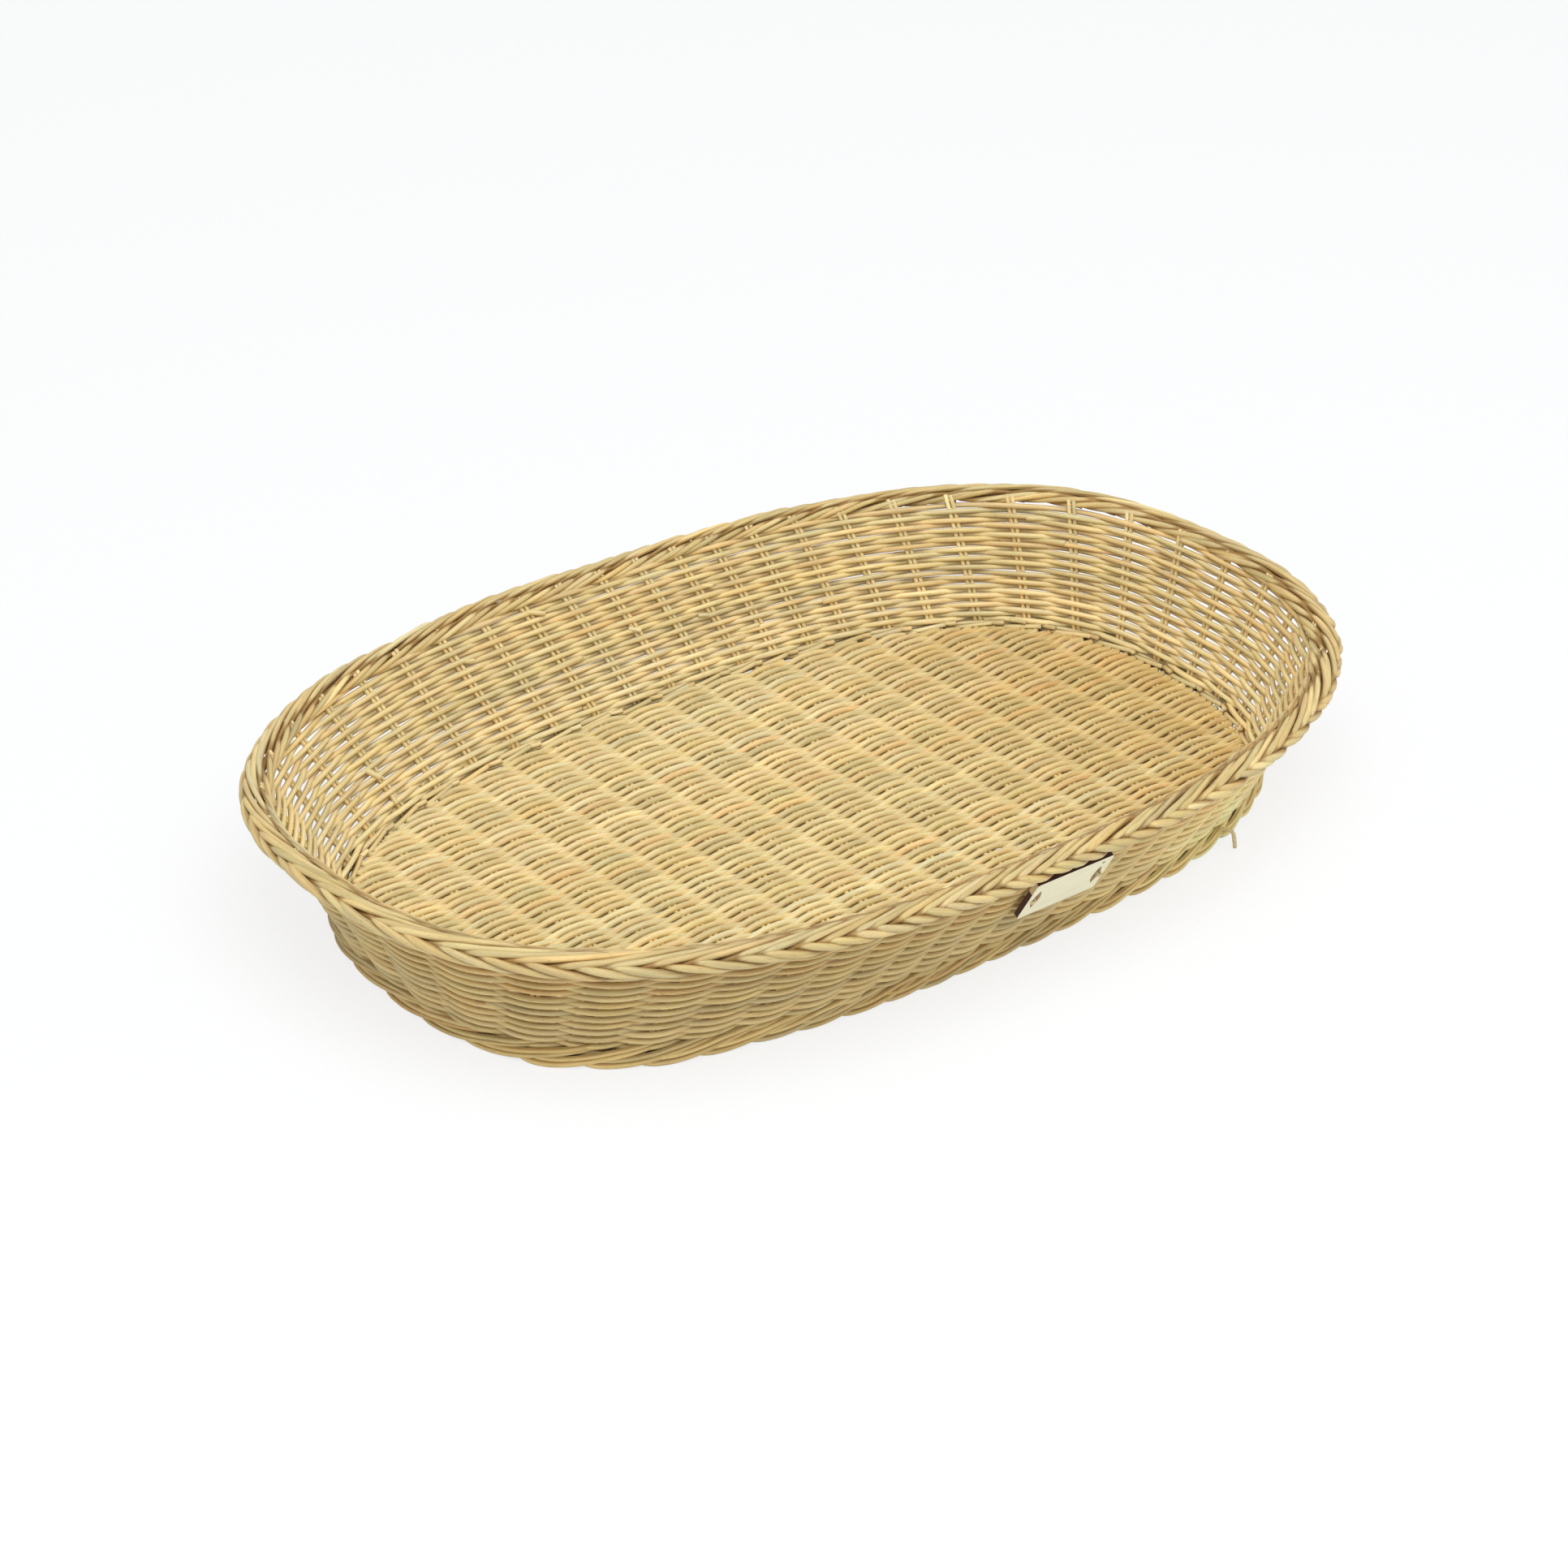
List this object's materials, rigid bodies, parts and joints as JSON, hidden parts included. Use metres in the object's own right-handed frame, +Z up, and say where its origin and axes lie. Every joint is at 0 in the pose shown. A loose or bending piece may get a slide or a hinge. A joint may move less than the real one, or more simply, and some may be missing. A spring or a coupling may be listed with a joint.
{
  "type": "oval wicker basket",
  "caption": "Low oval wicker basket of woven round cane, with outward-leaning walls, a plaited rim and foot border and a small plain wooden tag.",
  "frame": {"origin": "on the ground under the middle of the rim", "axes": "+X along the long way of the oval, -Y towards the side with the tag, +Z up"},
  "size_m": [0.6008, 0.4106, 0.082],
  "materials": {
    "cane": "natural round cane, satin",
    "plywood": "bare sanded plywood with scorched edges"
  },
  "bodies": {
    "root": {"floor_stake_01": "cane", "floor_stake_02": "cane", "floor_stake_03": "cane", "floor_stake_04": "cane", "floor_stake_05": "cane", "floor_stake_06": "cane", "floor_stake_07": "cane", "floor_stake_08": "cane", "floor_stake_09": "cane", "floor_stake_10": "cane", "floor_stake_11": "cane", "floor_stake_12": "cane", "floor_stake_13": "cane", "floor_stake_14": "cane", "floor_stake_15": "cane", "floor_stake_16": "cane", "floor_stake_17": "cane", "floor_stake_18": "cane", "floor_stake_19": "cane", "floor_stake_20": "cane", "floor_stake_21": "cane", "floor_stake_22": "cane", "floor_stake_23": "cane", "floor_stake_24": "cane", "floor_stake_25": "cane", "floor_stake_26": "cane", "floor_stake_27": "cane", "floor_stake_28": "cane", "floor_stake_29": "cane", "floor_stake_30": "cane", "floor_stake_31": "cane", "floor_stake_32": "cane", "floor_stake_33": "cane", "floor_stake_34": "cane", "floor_stake_35": "cane", "floor_stake_36": "cane", "floor_stake_37": "cane", "floor_stake_38": "cane", "floor_weave": "cane", "foot_border": "cane", "loose_cane_end": "cane", "tag_plate": "plywood", "tag_tie_left": "cane", "tag_tie_right": "cane", "wall_stakes_and_rim": "cane", "wall_weave": "cane"}
  },
  "joints": []
}
